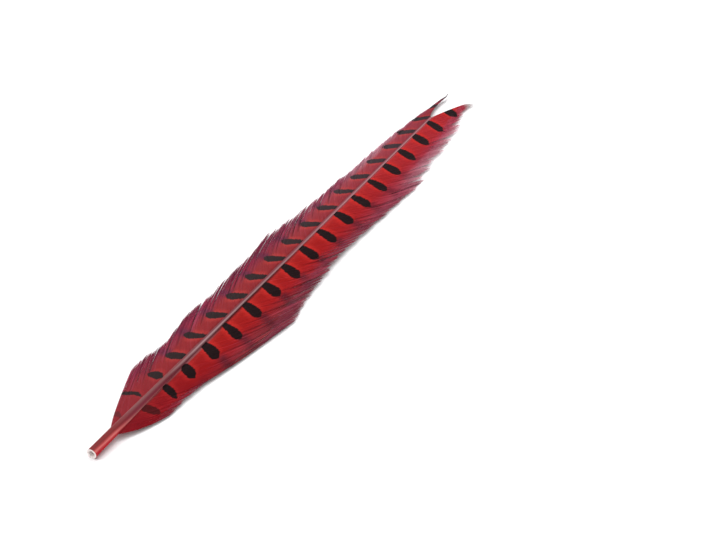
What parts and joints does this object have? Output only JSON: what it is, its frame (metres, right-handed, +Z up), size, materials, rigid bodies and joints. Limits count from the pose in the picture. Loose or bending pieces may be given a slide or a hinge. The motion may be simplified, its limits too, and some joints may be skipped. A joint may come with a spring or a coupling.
{
  "type": "pheasant tail feather",
  "caption": "Red-dyed, black-barred side tail feather of a cock pheasant, cut quill at one end and a fork of barbs past the cut shaft at the other; lies flat as trim or decoration.",
  "frame": {"origin": "middle of the feather's footprint, on the surface it lies on", "axes": "+Y along the shaft from the cut quill to the forked tip, +Z up out of the glossy upper side, +X to the right vane"},
  "size_m": [0.0278, 0.1998, 0.0044],
  "materials": {
    "feather_red": "dyed keratin barbs with a soft sheen, red with black bars, dull crimson towards the margins"
  },
  "bodies": {
    "root": {"feather": "feather_red"}
  },
  "joints": []
}
